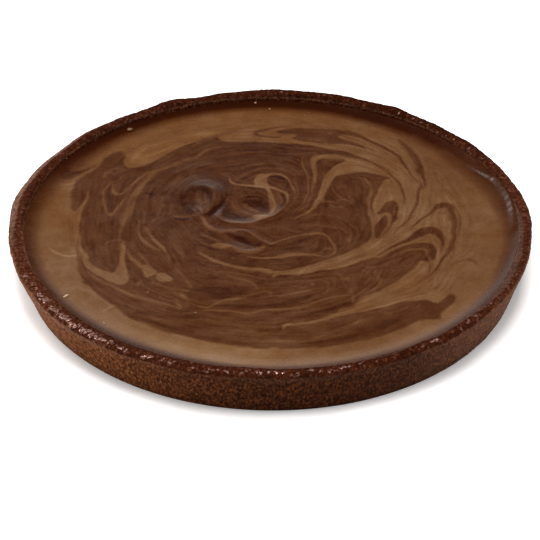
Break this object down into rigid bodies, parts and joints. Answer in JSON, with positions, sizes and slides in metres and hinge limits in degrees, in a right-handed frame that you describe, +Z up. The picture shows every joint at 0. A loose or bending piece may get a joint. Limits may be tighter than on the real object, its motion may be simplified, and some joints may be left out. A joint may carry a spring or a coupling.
{
  "type": "chocolate tart",
  "caption": "Round chocolate tart: a flared pastry case with an uneven rim, filled almost to the top with smooth marbled chocolate stirred into swirls.",
  "frame": {"origin": "middle of the flat underside of the pastry case", "axes": "+Z up, away from the surface that the tart stands on; +Y from the front of the tart, as usually shown, to its back"},
  "size_m": [0.2703, 0.2699, 0.0282],
  "materials": {
    "pastry": "baked cocoa pastry: dark brown, crumbly and matt on the wall, redder and glazed on the rim",
    "chocolate": "set chocolate cream: milk brown marbled with dark brown, with a soft sheen"
  },
  "bodies": {
    "root": {"pastry_case": "pastry", "chocolate_filling": "chocolate"}
  },
  "joints": []
}
